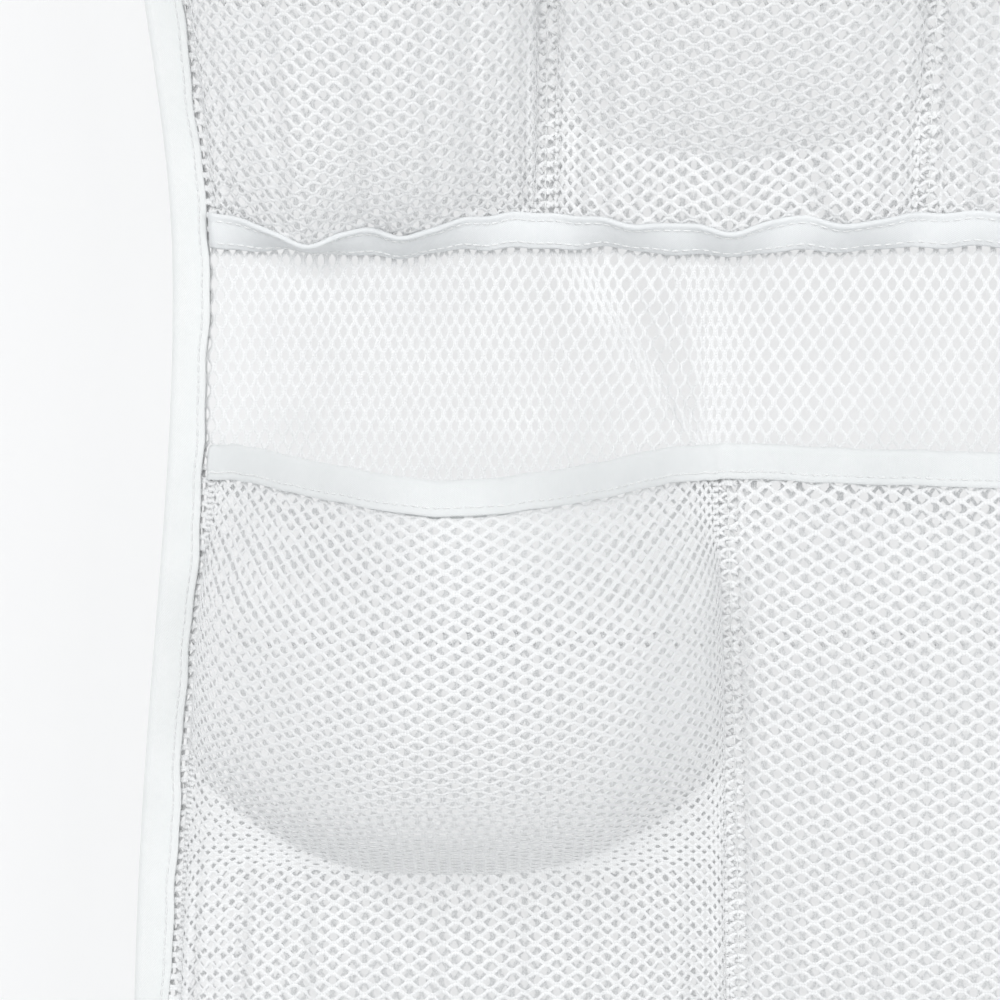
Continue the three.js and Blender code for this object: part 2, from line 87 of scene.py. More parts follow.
# Where what a pocket carried has pulled its base tape forward:
# (place across, reach, drop of the tape's edge)
BASE_PULLS = {
    "upper": [
        (-136, 14, 8.6), (-100, 17, 4.2), (-30, 12, 3.4), (0, 11, 3.6), (36, 12, 2.6), (112, 26, 5.2),
    ],
    "middle": [(-128, 20, 2.8), (-84, 26, 4.6), (-36, 16, 2.4), (52, 18, 1.8), (104, 24, 2.6)],
    "lower": [],
}
BASE_PULL_FROM = 0.72  # share of a row's height where its net begins to follow the pulled tape
TAPE_LEAST = 1  # height that a pulled base tape keeps

# Where the full pocket's weight bunches the bare net above it:
# (place at the mouth, slant, reach to the left, reach to the right, share drawn in)
NET_PULLS = [(-2, 0.13, 9, 24, 0.5), (-7, 0.72, 11, 9, 0.55)]
NET_PULL_HEIGHT = 70
NET_PULL_SPREAD = 0.12  # how much wider a bunch is, for each unit above the mouth

# Soft folds and creases: each wave is (height, length, phase)
BROAD_FOLDS = ((1.6, 96.0, 0.9), (0.9, 57.0, 2.2), (0.5, 31.0, 0.2))
FOLD_SLANT = 0.12
FOLD_EDGE = 30  # width over which the back net's folds die out beside the bindings
FOLD_TOP = 22  # height over which they begin below a tape
FOLD_END = (14, 6)  # where they end, above and below a mouth
PLEATS_X = -4  # pleats fan out from here, below the full pocket's mouth
PLEATS_BELOW = 26
PLEAT_PITCH = 0.17
PLEAT_MIDDLE = -0.24
PLEAT_REACH = 0.2
PLEAT_HEIGHT = 1.8
GATHERS = ((0.9, 13.0, 0.4), (0.6, 8.3, 2.1), (0.8, 23.0, 1.0))
GATHERS_RISE = (0.55, 0.92)
UNEVEN = ((0.7, 61.0, 0.3), (0.4, 34.0, 1.7))
UNEVEN_RISE = (0.05, 0.3)
UNEVEN_SLANT = 40
SLACK_OUT = (2, 14)  # how far a net stands out where its creases set in
SLACK_END = (0.985, 1.0)
MOUTH_RIPPLE = ((0.1, 19.0, 0.2), (0.06, 11.0, 1.1), (0.2, 53.0, 2.0))
BASE_RIPPLE = ((0.4, 27.0, 0.2), (0.25, 15.0, 1.4), (0.4, 49.0, 2.6))
BASE_PUCKER = ((0.28, 21.0, 0.7), (0.22, 12.7, 2.9))
BASE_PROUD = 0.5  # how far a base tape stands proud between its seams

MOUTH_LIFT_END = 0.22
BULGE_ROUNDNESS = 5
BULGE_FOOT = 1
SOFT_FOOT = 0.5
SLACK_SHARE = 0.15
BULGE_GAIN = 1.06
FILL_ROUNDING = 0.5
FILL_CURVE = 1.5
MOUTH_TAKE_IN = 0.21
MOUTH_FULLNESS = 1.5
BELLY_FULLNESS = 0.55
BELLY_FROM = 0.25
MOUTH_EASE = 0.06  # how softly a mouth's outline sets out from its ends

# How the full pocket draws the panel's sides in: fitted to the photographed edge,
# and up to 4 mm from the solids
WAIST_T = 282
WAIST_PULL = 15
WAIST_ABOVE = 94
WAIST_BELOW = 142
WAIST_TURNS = 0.8  # waves of the pull across the panel

# Sizes of the metal fittings
EYELET_T = 14.5
EYELET_X = (-153, -51, 51, 153)
EYELET_HOLE_R = 5.5
EYELET_FLANGE_R = 10.6
EYELET_METAL = 0.55
LIP_W = 1.1
ROD_R = 12.7
RING_IN_R = 25
WIRE_R = 2.2
KNUCKLE_R = 3.4
PIN_R = 1.0
PIN_HEAD_R = 1.9
PIN_HEAD_T = 0.7
TONGUE_T = 1.2
SNAP_DEPTH = 5
RING_SEAM = 0.3
FORK_EXTRA = 0.6  # how much wider than its wire a ring's knuckle is
PIN_CROWN = 0.1
EDGE_ROUND = 0.35  # how far the edges of the fittings are rounded off
METAL_SIDES = 32
RING_STEPS = 72
THROAT_STEPS = 17
THROAT_INNER_STEPS = 9
EDGE_STEPS = 5
CREASE_ANGLE = math.radians(35)

INNER = HALF_W - BINDING_W
TAPE_HALF = NET_HALF + CLEAR + TAPE_WALL
STRIP_Y = -(2 * NET_HALF + CLEAR + STRIP_GAP)
MOUTH_LIFT = TAPE_HALF + CLEAR + NET_HALF + STRIP_Y
EDGE_OFFSET = TAPE_HALF + 2 * CLEAR
BINDING_BACK = NET_HALF + CLEAR + TAPE_WALL
BINDING_FRONT = STRIP_Y - NET_HALF - CLEAR - TAPE_WALL
BINDING_MID = (BINDING_BACK + BINDING_FRONT) / 2
BINDING_HALF = (BINDING_BACK - BINDING_FRONT) / 2
TOP_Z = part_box("header_band")[1].z / MM
THROAT_R = HEADER_T / 2 + CLEAR + EYELET_METAL
RING_R = RING_IN_R + WIRE_R
RING_Z = ROD_R - RING_IN_R
FORK_GAP = TONGUE_T + 2 * CLEAR
FORK_W = 2 * WIRE_R + FORK_EXTRA

# Each row's pockets from left to right: how far one stands out, and what share of its height is filled
ROWS = [
    {"name": "upper", "height": 176, "pockets": [(46, 1.0), (40, 0.9), (26, 1.0)]},
    {"name": "middle", "height": 176, "pockets": [(72, 0.68), (20, 1.0)]},
    {"name": "lower", "height": 167, "pockets": [(36, 0.9)]},
]
below = HEADER_H
for row in ROWS:
    row["mouth"] = below + BARE_NET_H
    row["base"] = row["mouth"] + row["height"]
    row["last"] = row is ROWS[-1]
    below = row["base"] + BASE_TAPE_W
PANEL_H = ROWS[-1]["base"] + CLEAR + TAPE_HALF + BINDING_W

# The knitted net: threads that run in waves and touch their neighbours by turns
BACK_CELL = (6.7, 3.8)  # along the threads and across them
POCKET_CELL = (6.9, 4.5)
CELL_SHORTENING = 0.0115  # how much shorter a cell is, for each unit that its pocket stands out
STRAND_W = 1.05
STRAND_T = 0.62
JOINED = 0.24  # share of a cell's length over which two threads lie together
JOIN_PITCH = 0.65  # distance between two threads where they lie together
NET_STRETCH = 0.25  # share of a belly's extra length that the net makes up by stretching
THREAD_ANGLE = math.radians(100)
STRAND_SIDE = 0.74  # width of one of a strand's four sides in the cloth map
STRAND_SHIFT = 7.0  # how far apart two strands lie in the cloth map, so that their twists differ
BAKE_SIDE = 0.23  # share of a strand's band in the bake map that one of its sides takes
BACK_BANDS = 4
STRIP_TAIL = 14  # how far a strip's table runs on behind the bindings
STRIP_STEPS = 120
LEVEL_STEPS = 160
SPREAD_STEPS = 8
GIRTH_LEVEL = 0.3  # share of a row's height where the length along its strip is measured

# Sewing
STITCH_PITCH = 3.0
STITCH_LONG = 2.3
STITCH_R = 0.24
STITCH_SIDES = 6
STITCH_SHAPE = ((-0.5, 0.25), (-0.36, 0.85), (0.0, 1.0), (0.36, 0.85), (0.5, 0.25))  # (place, thickness)
STITCH_SINK = 0.2  # how far a stitch's ends sink into the cloth
SEAM_IN = 2.2  # from a tape's free edge to its seam
SEAM_ENDS = 2  # how far a seam stops short of its tape's ends
SEAM_DENT = 0.16  # how far a seam draws a folded tape in
SEAM_REACH = 0.8  # how far from the seam that shows
LOWER_SEAM_IN = 1.6  # from a base tape's lower edge to its seam
HEADER_SEAM = 3.0  # from the header's fold to its upper seam
SEWN = TAPE_W + 3  # from a row's mouth to where its net is free of the tape

# Folded tapes
HEADER_WALL = 0.75
TAPE_CROWN = 0.12  # how far a tape swells between its seam and its fold
CROWN_AT = 0.5  # where it swells most, as a share of its leg
LEG_POINTS = (1, 0.8, 0.6, 0.5, 0.4, 0.3)  # where a leg's inner side has points, as shares of the leg
FOOT_ROUND = (0.25, 0.3)  # rounding of a free edge, through the tape and along it
FOLD_FLAT = 0.4  # from a fold's round to the next point of its outline
FOLD_STEPS = 9
FOLD_TURN = 4  # width of cloth that goes round a binding's fold
HEADER_TURN = 2
TAPE_STEP = 2.0
FACING_STEP = 0.4  # how far to each side of a point its surface's direction is taken

# The photograph's framing
FRAME_MIDDLE = Vector((-0.070, 0.0, -0.375))
FRAME_WIDTH = 0.2865
CAMERA_DISTANCE = 0.62
CAMERA_ELEVATION = math.radians(4)


# Shapes of the hanging cloth

def smooth(v, low, high):
    """0 below low, 1 above high, and an easy curve between them."""
    x = np.clip((np.asarray(v, float) - low) / (high - low), 0, 1)
    return x * x * (3 - 2 * x)


def waver(s, *waves):
    """An uneven ripple along s: each wave is (height, length, phase)."""
    return sum(height * np.sin(2 * np.pi * s / length + phase) for height, length, phase in waves)


def draw_in(x, t):
    """How far the fullest pocket draws the panel sideways."""
    reach = np.where(t < WAIST_T, WAIST_ABOVE, WAIST_BELOW)
    level = np.exp(-(((t - WAIST_T) / reach) ** 2))
    across = (x + HALF_W) / PANEL_W
    return WAIST_PULL * level * np.cos(2 * np.pi * WAIST_TURNS * across) * (1 - across)


def hang(x, y, t):
    """A point of the hanging panel, in metres."""
    x, y, t = np.broadcast_arrays(x, y, t)
    return np.stack([x + draw_in(x, t), y, TOP_Z - t], axis=-1) * MM


def belly(share, foot):
    """A filled pocket's profile, from 0 at the mouth to 1 where the fill ends."""
    down = np.clip(share, 0, 1)
    profile = (1 - down**BULGE_ROUNDNESS) ** foot
    return BULGE_GAIN * profile * (1 - MOUTH_TAKE_IN * (1 - down) ** 3)


def bulge(v, fill):
    """How far a pocket stands out at v, 0 at the mouth and 1 at the base, with slack net below its fill."""
    filled = belly(v / fill, BULGE_FOOT + SOFT_FOOT * (1 - fill))
    return (1 - SLACK_SHARE) * filled + SLACK_SHARE * belly(v, BULGE_FOOT)


def base_tip(row, x):
    """How a base tape's upper edge is pulled at x: its drop, and how far it tips out on its lower edge."""
    drop = 0 * x
    for place, reach, deep in BASE_PULLS[row["name"]]:
        drop = drop + deep * np.exp(-(((x - place) / reach) ** 2))
    drop = np.minimum(drop, BASE_TAPE_W - TAPE_LEAST)
    return drop, np.sqrt(BASE_TAPE_W**2 - (BASE_TAPE_W - drop) ** 2)


class Strip:
    """One row's net strip, laid out flat as s along it and d down it."""

    def __init__(self, row):
        self.row = row
        count = len(row["pockets"])
        table = [(-INNER - STRIP_TAIL, 0, 0, 1, 0), (-INNER + CLEAR, 0, 0, 1, 0)]
        ends = []
        for k, (depth, fill) in enumerate(row["pockets"]):
            start = -INNER + 2 * INNER * k / count + (EDGE_OFFSET if k == 0 else STITCH_LAND)
            end = -INNER + 2 * INNER * (k + 1) / count
            end -= EDGE_OFFSET if k == count - 1 else STITCH_LAND
            ends.append((start, end))
            for u in 0.5 - 0.5 * np.cos(np.linspace(0, math.pi, STRIP_STEPS)):
                sine = max(math.sin(math.pi * u), 0)
                local = fill - FILL_ROUNDING * (1 - fill) * (1 - sine) ** FILL_CURVE
                table.append((start + (end - start) * u, depth, sine, local, 1))
        table += [(INNER - CLEAR, 0, 0, 1, 0), (INNER + STRIP_TAIL, 0, 0, 1, 0)]
        self.x, self.deep, self.sine, self.fill, self.lift = np.array(table, float).T
        girth = np.stack([self.x, self.deep * self.sine**BELLY_FULLNESS * bulge(GIRTH_LEVEL, self.fill)])
        self.s = np.concatenate([[0], np.cumsum(np.hypot(*np.diff(girth, axis=1)))])
        self.first = self.place(-INNER - NET_IN_BINDING)
        self.last = self.place(INNER + NET_IN_BINDING)
        self.spans = [(self.place(start), self.place(end)) for start, end in ends]
        self.levels = np.linspace(SEWN / row["height"], 1, LEVEL_STEPS)

    def place(self, x):
        """How far along the strip a place across the panel is."""
        return float(np.interp(x, self.x, self.s))

    def read(self, s, values):
        return np.interp(s, self.s, values)

    def sag(self, x):
        """How far the base seam sags below its ends."""
        deep, sine = (np.interp(x, self.x, values) for values in (self.deep, self.sine))
        return BASE_SAG * deep * sine**2

    def lengths(self, out, fill):
        """Lengths down a column that stands out that far, from the sewn edge to the base."""
        rise = np.diff(bulge(self.levels, fill)) * out
        drop = np.diff(self.levels) * self.row["height"]
        return np.concatenate([[0], np.cumsum(np.hypot(rise, drop))])

    def cut_depth(self, pocket):
        """How deep a pocket's net is cut, from mouth to base: it stretches a little over the belly."""
        flat = self.lengths(0, 1)[-1]
        full = self.lengths(*pocket)[-1]
        return SEWN + NET_STRETCH * flat + (1 - NET_STRETCH) * full

    def level(self, s, d, cut):
        """How far down the row a place is, 0 at the mouth and 1 at the base: columns share the net."""
        height = self.row["height"]
        share = np.clip((d - SEWN) / (cut - SEWN), 0, 1)
        v = self.levels[0] + (1 - self.levels[0]) * share
        for (start, end), (depth, fill) in zip(self.spans, self.row["pockets"]):
            inside = (s > start) & (s < end)
            out = depth * self.read(s[inside], self.sine) ** BELLY_FULLNESS
            steps = np.linspace(0, depth, SPREAD_STEPS)
            v[inside] = 0
            for step in steps:
                down = self.lengths(step, fill)
                near = np.clip(1 - np.abs(out - step) / steps[1], 0, 1)
                v[inside] += near * np.interp(share[inside], down / down[-1], self.levels)
        v = np.where(d < SEWN, d / height, v)
        return np.where(d > cut, 1 + (d - cut) / height, v)

    def at(self, s, d, cut=None):
        """The place of the middle of the strip's thickness, on a net that is cut that deep."""
        row = self.row
        s, d = np.broadcast_arrays(np.asarray(s, float), np.asarray(d, float))
        v = self.level(s, d, cut or row["height"])
        x = self.read(s, self.x)
        belled = smooth(v, TAPE_W / row["height"], BELLY_FROM)
        full = MOUTH_FULLNESS + (BELLY_FULLNESS - MOUTH_FULLNESS) * belled
        sine = self.read(s, self.sine)
        eased = (np.hypot(sine, MOUTH_EASE) - MOUTH_EASE) / (math.hypot(1, MOUTH_EASE) - MOUTH_EASE)
        out = self.read(s, self.deep) * (sine + (eased - sine) * (1 - belled)) ** full
        raised = smooth(MOUTH_LIFT_END - v, 0, MOUTH_LIFT_END - TAPE_W / row["height"])
        y = STRIP_Y - self.read(s, self.lift) * raised * MOUTH_LIFT
        y = y - out * bulge(v, self.read(s, self.fill)) - self.slack(s, v, out)
        t = row["mouth"] + v * row["height"] + MOUTH_DROOP * out * (1 - np.clip(v, 0, 1)) ** 2
        if row["last"]:
            return hang(x, y, t)
        drop, tip = base_tip(row, x)
        seam = smooth(v, BASE_PULL_FROM, 1) - np.clip((v - 1) * row["height"] / BASE_TAPE_W, 0, 1)
        return hang(x, y - tip * seam, t + self.sag(x) * smooth(v, BASE_SAG_FROM, 1) + drop * seam)

    def slack(self, s, v, out):
        """Soft creases where the net is gathered into the base seam, and unevenness over the belly."""
        free = smooth(out, *SLACK_OUT) * (1 - smooth(v, *SLACK_END))
        gathers = waver(s, *GATHERS) * smooth(v, *GATHERS_RISE)
        uneven = waver(s + UNEVEN_SLANT * v, *UNEVEN) * smooth(v, *UNEVEN_RISE)
        return free * (gathers + uneven)


def back_folds(x, t):
    """How far the bare back net stands off its plane: soft vertical folds between the rows."""
    stand = np.zeros(np.broadcast(x, t).shape)
    edge = smooth(INNER - np.abs(x), 0, FOLD_EDGE)
    top = HEADER_H
    for row in ROWS:
        bottom = row["mouth"]
        level = smooth(t, top, top + FOLD_TOP) * (1 - smooth(t, bottom - FOLD_END[0], bottom + FOLD_END[1]))
        broad = waver(x + FOLD_SLANT * (t - top), *BROAD_FOLDS)
        stand = stand + level * edge * broad
        if row["name"] == "middle":
            fan = (x - PLEATS_X) / (bottom + PLEATS_BELOW - np.minimum(t, bottom))
            near = np.exp(-(((fan - PLEAT_MIDDLE) / PLEAT_REACH) ** 2))
            pleats = np.cos(2 * np.pi * fan / PLEAT_PITCH) * near
            stand = stand + PLEAT_HEIGHT * level * pleats
        top = row["base"] + BASE_TAPE_W
    return stand


def bunched(x, t):
    """Where a thread of the back net lies across the panel, drawn together above the full pocket."""
    mouth = ROWS[1]["mouth"]
    for place, slant, left, right, share in NET_PULLS:
        above = np.maximum(mouth - t, 0)
        away = x - place + slant * above
        wide = np.where(away < 0, left, right) + NET_PULL_SPREAD * above
        near = np.exp(-((away / wide) ** 2)) * np.exp(-(((t - mouth) / NET_PULL_HEIGHT) ** 2))
        x = x - share * away * near
    return x


def back_net(s, d):
    """The back net: threads run down it, s from its top edge and d across from its left edge."""
    t = HEADER_H - NET_IN_HEADER + s
    x = bunched(d - INNER - NET_IN_BINDING, t)
    return hang(x, back_folds(x, t), t)


# Mesh builders

def mesh_object(name, points, quads, uvs):
    """A closed, smooth mesh of four-sided faces, right side out, with a UV map for each name in uvs."""
    a, b, c, d = (points[quads[:, k]] for k in range(4))
    if np.sum(a * (np.cross(b, c) + np.cross(c, d))) < 0:
        quads = quads[:, ::-1]
        uvs = {uv_name: uv[:, ::-1] for uv_name, uv in uvs.items()}
    mesh = bpy.data.meshes.new(name)
    mesh.vertices.add(len(points))
    mesh.vertices.foreach_set("co", np.ascontiguousarray(points, np.float32).ravel())
    mesh.loops.add(quads.size)
    mesh.loops.foreach_set("vertex_index", np.ascontiguousarray(quads, np.int32).ravel())
    mesh.polygons.add(len(quads))
    mesh.polygons.foreach_set("loop_start", np.arange(0, quads.size, 4, dtype=np.int32))
    for uv_name, uv in uvs.items():
        layer = mesh.uv_layers.new(name=uv_name)
        layer.data.foreach_set("uv", np.ascontiguousarray(uv, np.float32).ravel())
    mesh.update(calc_edges=True)
    mesh.validate()
    mesh.shade_smooth()
    piece = bpy.data.objects.new(name, mesh)
    bpy.context.collection.objects.link(piece)
    return piece


def unit(v):
    return v / np.linalg.norm(v, axis=-1, keepdims=True)


def facing(surface, s, d):
    """Directions along s, along d and out of a surface."""
    along = unit(surface(s + FACING_STEP, d) - surface(s - FACING_STEP, d))
    across = unit(surface(s, d + FACING_STEP) - surface(s, d - FACING_STEP))
    return along, across, unit(np.cross(across, along))


def tubes(name, points, maps):
    """Capped tubes through rings of points[run, station, side]. maps turn those three numbers into UVs."""
    runs, stations, sides = points.shape[:3]
    r, k, c = (n.ravel() for n in np.indices((runs, stations - 1, sides)))
    wall = [(r, k, c), (r, k, c + 1), (r, k + 1, c + 1), (r, k + 1, c)]
    r, c = (n.ravel() for n in np.indices((runs, sides // 2 - 1)))
    across = [c, sides - 1 - c, sides - 2 - c, c + 1]
    first = [(r, 0 * r, side) for side in across]
    last = [(r, 0 * r + stations - 1, side) for side in across[::-1]]
    faces = [np.stack([np.stack(corner, -1) for corner in part], 1) for part in (wall, first, last)]
    run, station, side = np.moveaxis(np.concatenate(faces), -1, 0)
    quads = (run * stations + station) * sides + side % sides
    uvs = {uv_name: np.stack(uv(run, station, side), -1) for uv_name, uv in maps.items()}
    return mesh_object(name, points.reshape(-1, 3), quads, uvs)


def knit(name, surface, cells, threads, length, breadth, first):
    """A net on a surface: threads along s, each a flattened tube in waves, side by side along d."""
    long, pitch = length / cells, breadth / threads
    half_join = JOINED * long / 2
    swing = (pitch - JOIN_PITCH) / 2
    turns = np.array([-half_join, half_join, long / 2 - half_join, long / 2 + half_join])
    sways = np.array([swing, swing, -swing, -swing])
    thread = np.arange(threads)[:, None]
    s = (np.arange(cells + 1)[:, None] * long + turns).ravel()[:-3] + first + thread % 2 * long / 2
    d = (thread + 0.5) * pitch + np.tile(sways, cells + 1)[:-3]
    middle = surface(s, d)
    out = facing(surface, s, d)[2]
    along = unit(np.gradient(middle, axis=1))
    across = unit(np.cross(out, along))
    thick, wide = out * STRAND_T / 2 * MM, across * STRAND_W / 2 * MM
    points = np.stack([middle + thick, middle + wide, middle - thick, middle - wide], axis=2)
    last = s.shape[1] - 1
    maps = {
        "OFBake": lambda run, station, side: (station / last, (run + BAKE_SIDE * side) / threads),
        "cloth": lambda run, station, side: (s[run, station], STRAND_SHIFT * run + STRAND_SIDE * side),
    }
    net = tubes(name, points, maps)
    net.data.set_sharp_from_angle(angle=THREAD_ANGLE)
    return net


def turned(name, profile):
    """A solid turned round the X axis, from (radius, place along it) points between two flat ends."""
    turn = np.linspace(0, 2 * math.pi, METAL_SIDES, endpoint=False)
    radius, along = np.array(profile, float).T[..., None]
    rings = np.stack([along + 0 * turn, radius * np.cos(turn), radius * np.sin(turn)], axis=-1)
    return tubes(name, rings[None] * MM, {})


def hoop(name, profile):
    """A solid turned round the Y axis, from (radius, place along it) points that close on themselves."""
    sides = 2 * METAL_SIDES
    turn = np.linspace(0, 2 * math.pi, sides, endpoint=False)[:, None]
    radius, along = np.array(profile, float).T
    points = np.stack([radius * np.cos(turn), along + 0 * turn, radius * np.sin(turn)], axis=-1) * MM
    k, c = (n.ravel() for n in np.indices(points.shape[:2]))
    corners = [(k, c), (k, c + 1), (k + 1, c + 1), (k + 1, c)]
    quads = np.stack([a % sides * len(profile) + b % len(profile) for a, b in corners], axis=-1)
    return mesh_object(name, points.reshape(-1, 3), quads, {})


def combine(piece, operation, tool):
    """Cuts, joins or crosses a solid with another, which is used up."""
    change = piece.modifiers.new("combine", "BOOLEAN")
    change.object = tool
    change.operation = operation
    change.solver = "EXACT"
    bpy.context.view_layer.objects.active = piece
    bpy.ops.object.modifier_apply(modifier=change.name)
    bpy.data.objects.remove(tool)


def sweep(name, rings, spacing):
    """A closed solid through rings of points."""
    girth = np.linalg.norm(np.roll(rings[0], -1, axis=0) - rings[0], axis=-1) / MM
    around = np.concatenate([[0], np.cumsum(girth)])
    return tubes(name, rings[None], {"cloth": lambda run, station, side: (station * spacing, around[side])})


def fold_outline(half, wall, leg):
    """A tape folded in a U, as (out, down) points from one foot over the fold to the other and back."""
    arc = np.linspace(0, math.pi, FOLD_STEPS)
    inner = half - wall
    seam = leg - SEAM_IN
    drawn = half - SEAM_DENT / 2
    side = [(half - FOOT_ROUND[0], leg), (half, leg - FOOT_ROUND[1])]
    side += [(drawn, seam + SEAM_REACH), (half - SEAM_DENT, seam), (drawn, seam - SEAM_REACH)]
    side += [(half + TAPE_CROWN, leg * CROWN_AT), (half, half + FOLD_FLAT)]
    over = [(half * math.cos(a), half - half * math.sin(a)) for a in arc[1:-1]]
    outer = side + over + [(-out, down) for out, down in side[::-1]]
    inside = [(inner, leg * share) for share in LEG_POINTS]
    inside.append((inner, half + FOLD_FLAT))
    under = [(inner * math.cos(a), half - inner * math.sin(a)) for a in arc[1:-1]]
    inward = inside + under + [(-out, down) for out, down in inside[::-1]]
    return outer + inward[::-1]


def along_surface(surface, s, outline, shift=0.0):
    """Rings of an outline carried along a surface."""
    out = np.array([o for o, _ in outline])[None, :]
    down = np.array([d for _, d in outline])[None, :] + shift
    s = s[:, None] + 0 * down
    down = down + 0 * s
    place = surface(s, down)
    normal = facing(surface, s, down)[2]
    return place + normal * (out * MM)[..., None]


def stitch_row(name, surface, start, end, d, lift):
    """A row of thread stitches lying on a surface: small rounded bars in line."""
    count = max(2, int((end - start) / STITCH_PITCH))
    s = start + (np.arange(count) + 0.5) * (end - start) / count
    d = np.broadcast_to(np.asarray(d, float), s.shape)
    along, across, out = facing(surface, s, d)
    middle = surface(s, d) + out * lift * MM
    turns = np.linspace(0, 2 * math.pi, STITCH_SIDES, endpoint=False)
    rings = []
    for place, size in STITCH_SHAPE:
        centre = middle + along * place * STITCH_LONG * MM - out * STITCH_SINK * (1 - size) * MM
        ring = [centre + (across * math.cos(a) + out * math.sin(a)) * size * STITCH_R * MM for a in turns]
        rings.append(np.stack(ring, axis=1))
    maps = {"cloth": lambda run, station, side: (run + 0.5 * station, 0.25 * side)}
    return tubes(name, np.stack(rings, axis=1), maps)


# Materials

RIB_PITCH = 0.75
WEFT_PITCH = 0.55
TWIST_PITCH = 0.8
TWIST_LEAN = 2.7  # how far the twist runs on round a strand


class Nodes:
    """A short way to write a material's nodes."""

    def __init__(self, name):
        self.material = bpy.data.materials.new(name)
        self.material.use_nodes = True
        self.tree = self.material.node_tree
        self.shader = self.tree.nodes["Principled BSDF"]

    def add(self, kind, inputs=None, **settings):
        made = self.tree.nodes.new(kind)
        for key, value in settings.items():
            setattr(made, key, value)
        for key, value in (inputs or {}).items():
            if isinstance(value, bpy.types.NodeSocket):
                self.tree.links.new(value, made.inputs[key])
            else:
                made.inputs[key].default_value = value
        return made

    def maths(self, operation, *values):
        return self.add("ShaderNodeMath", dict(enumerate(values)), operation=operation).outputs[0]

    def link(self, socket, name):
        self.tree.links.new(socket, self.shader.inputs[name])

    def cloth(self):
        uv = self.add("ShaderNodeUVMap", uv_map="cloth").outputs["UV"]
        split = self.add("ShaderNodeSeparateXYZ", {0: uv})
        return split.outputs[0], split.outputs[1]

    def noise(self, scale, detail=3.0, rough=0.55):
        where = self.add("ShaderNodeTexCoord").outputs["Object"]
        inputs = {"Vector": where, "Scale": scale, "Detail": detail, "Roughness": rough}
        return self.add("ShaderNodeTexNoise", inputs).outputs[0]

    def ramp(self, value, *stops):
        made = self.add("ShaderNodeValToRGB", {0: value})
        elements = made.color_ramp.elements
        for n, (place, colour) in enumerate(stops):
            element = elements[n] if n < 2 else elements.new(place)
            element.position = place
            element.color = (*colour, 1)
        return made.outputs[0]

    def seen_directly(self):
        """1 where the stage is seen by the camera or in metal, 0 where it lights the object."""
        path = self.add("ShaderNodeLightPath").outputs
        shown = self.maths("MAXIMUM", path["Is Camera Ray"], path["Is Glossy Ray"])
        return self.maths("MAXIMUM", shown, path["Is Transmission Ray"])

    def fade(self, value, start, end):
        """0 up to start, 1 from end on, and an easy curve between them."""
        inputs = {"Value": value, "From Min": start, "From Max": end}
        return self.add("ShaderNodeMapRange", inputs, interpolation_type="SMOOTHSTEP").outputs[0]

    def bump(self, height, strength, distance):
        inputs = {"Height": height, "Strength": strength, "Distance": distance}
        self.link(self.add("ShaderNodeBump", inputs).outputs[0], "Normal")


def tape_material(name, light, shade):
    """Woven polyester tape: fine cross ribs, a little unevenness and a soft sheen."""
    n = Nodes(name)
    along, across = n.cloth()
    rib = n.maths("SINE", n.maths("MULTIPLY", along, 2 * math.pi / RIB_PITCH))
    weft = n.maths("SINE", n.maths("MULTIPLY", across, 2 * math.pi / WEFT_PITCH))
    weave = n.maths("MULTIPLY", rib, weft)
    blotch = n.noise(45.0)
    fine = n.noise(420.0, 2.0)
    mottle = n.maths("MULTIPLY_ADD", fine, 0.25, n.maths("MULTIPLY", blotch, 0.75))
    tone = n.maths("MULTIPLY_ADD", weave, 0.06, mottle)
    n.link(n.ramp(tone, (0.25, shade), (0.75, light)), "Base Color")
    n.link(n.maths("MULTIPLY_ADD", fine, 0.2, 0.55), "Roughness")
    n.bump(n.maths("MULTIPLY_ADD", fine, 0.5, weave), 0.35, 0.00012)
    n.shader.inputs["Sheen Weight"].default_value = 0.12
    n.shader.inputs["Sheen Roughness"].default_value = 0.5
    return n.material


def net_material(name, light, shade):
    """Polyester yarn: a fine twist along each strand and slight changes of tone over the cloth."""
    n = Nodes(name)
    along, around = n.cloth()
    lean = n.maths("MULTIPLY", around, TWIST_LEAN)
    twist = n.maths("SINE", n.maths("MULTIPLY_ADD", along, 2 * math.pi / TWIST_PITCH, lean))
    blotch = n.noise(38.0)
    fine = n.noise(600.0, 2.0)
    mottle = n.maths("MULTIPLY_ADD", fine, 0.3, n.maths("MULTIPLY", blotch, 0.7))
    tone = n.maths("MULTIPLY_ADD", twist, 0.07, mottle)
    n.link(n.ramp(tone, (0.25, shade), (0.75, light)), "Base Color")
    n.link(n.maths("MULTIPLY_ADD", fine, 0.2, 0.5), "Roughness")
    n.bump(twist, 0.4, 0.00008)
    n.shader.inputs["Sheen Weight"].default_value = 0.1
    return n.material


def thread_material():
    """Sewing thread, a little glossier than the tape."""
    n = Nodes("sewing_thread")
    along, around = n.cloth()
    ply = n.maths("SINE", n.maths("MULTIPLY_ADD", along, 9.0, n.maths("MULTIPLY", around, 6.0)))
    tone = n.maths("MULTIPLY_ADD", ply, 0.12, n.noise(300.0))
    n.link(n.ramp(tone, (0.3, (0.84, 0.85, 0.85)), (0.7, (0.93, 0.935, 0.93))), "Base Color")
    n.link(n.maths("MULTIPLY_ADD", ply, 0.05, 0.42), "Roughness")
    n.bump(ply, 0.5, 0.00006)
    return n.material


